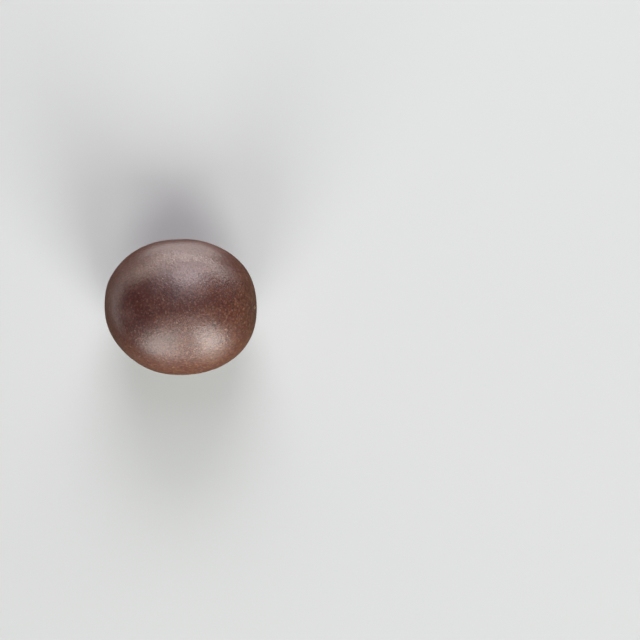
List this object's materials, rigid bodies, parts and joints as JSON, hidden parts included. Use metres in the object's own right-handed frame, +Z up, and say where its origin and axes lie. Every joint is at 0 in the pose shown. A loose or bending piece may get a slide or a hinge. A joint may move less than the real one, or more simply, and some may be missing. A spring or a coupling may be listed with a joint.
{
  "type": "passion fruit",
  "caption": "Whole ripe passion fruit with a dark, finely speckled leathery rind, lying on its side on a small flat spot.",
  "frame": {"origin": "middle of the fruit's outline seen from above, at the height of the surface that it rests on", "axes": "+X from the stalk end towards the blossom end, +Y across the fruit, +Z up from the surface that it rests on"},
  "size_m": [0.052, 0.0464, 0.0468],
  "materials": {
    "rind": "satin, waxy rind, dark maroon brown with fine pale speckles; a tan corky scar at the stalk end"
  },
  "bodies": {
    "root": {"fruit": "rind"}
  },
  "joints": []
}
